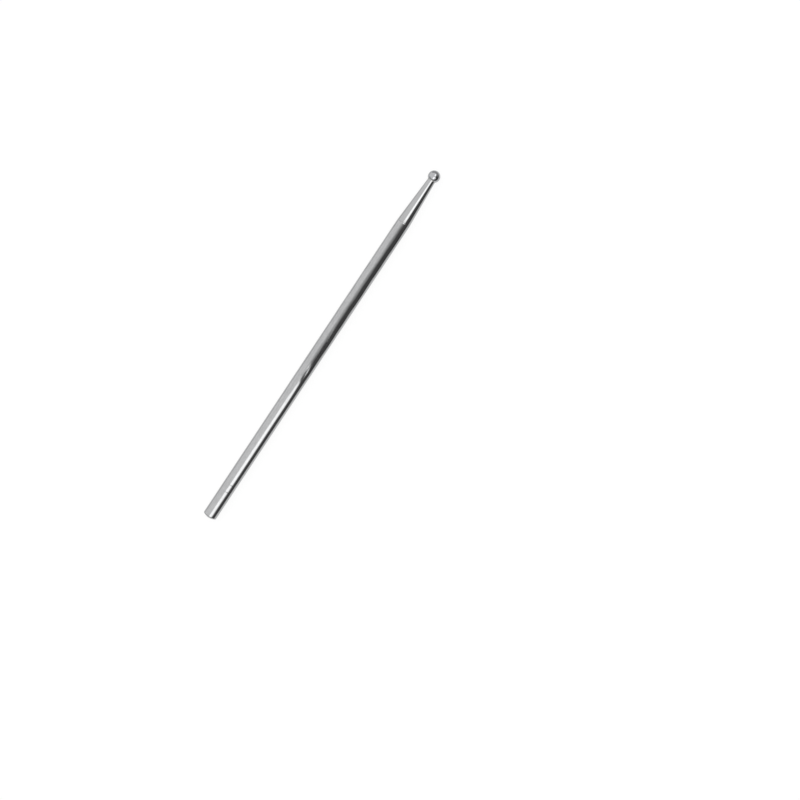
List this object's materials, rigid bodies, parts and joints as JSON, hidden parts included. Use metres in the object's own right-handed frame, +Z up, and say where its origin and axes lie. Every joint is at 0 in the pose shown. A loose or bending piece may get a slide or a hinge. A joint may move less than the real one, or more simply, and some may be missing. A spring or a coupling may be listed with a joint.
{
  "type": "ball stylus",
  "caption": "Slim round steel hand stylus with a long polished cone ending in a small ball, for tracing, burnishing and modelling leather.",
  "frame": {"origin": "on the surface that the stylus lies on, below the middle of its overall length", "axes": "+X along the tool from the domed butt to the ball, +Z up from the surface, +Y completes the right-handed frame"},
  "size_m": [0.1582, 0.0054, 0.0055],
  "materials": {
    "satin_bar_steel": "satin, drawn lengthwise with uneven polishing streaks",
    "polished_nose_steel": "fine polish with faint turning marks",
    "mirror_ball_steel": "mirror polish",
    "silver_braze": "bright cleaned silver braze, slightly rough"
  },
  "bodies": {
    "root": {"handle_bar": "satin_bar_steel", "tapered_nose": "polished_nose_steel", "ball_tip": "mirror_ball_steel", "ball_braze": "silver_braze"}
  },
  "joints": []
}
